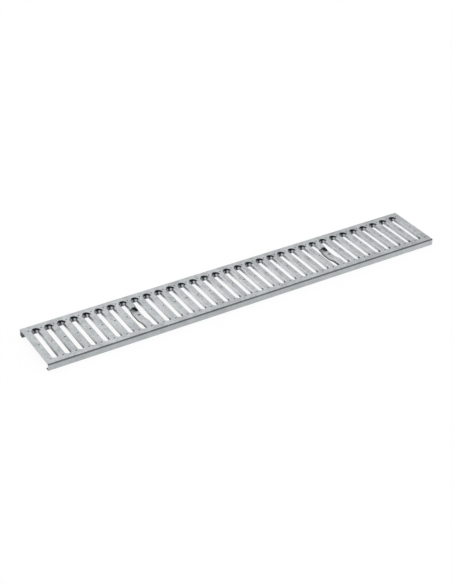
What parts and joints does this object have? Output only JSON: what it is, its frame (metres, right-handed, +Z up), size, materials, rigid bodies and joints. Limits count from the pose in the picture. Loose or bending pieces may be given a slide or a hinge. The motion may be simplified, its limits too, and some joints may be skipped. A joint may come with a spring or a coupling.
{
  "type": "channel drain grate",
  "caption": "Long pressed and folded galvanised steel grate with round-ended cross slots, folded side walls with inward lips and two recessed bolt holes.",
  "frame": {"origin": "centre of the grate's footprint, on the plane its lips rest on", "axes": "+X along the grate, +Y across it, +Z up out of the walked-on face"},
  "size_m": [0.996, 0.149, 0.0168],
  "materials": {
    "galvanised_steel": "hot-dip galvanised, satin, light mottling"
  },
  "bodies": {
    "root": {"grate": "galvanised_steel"}
  },
  "joints": []
}
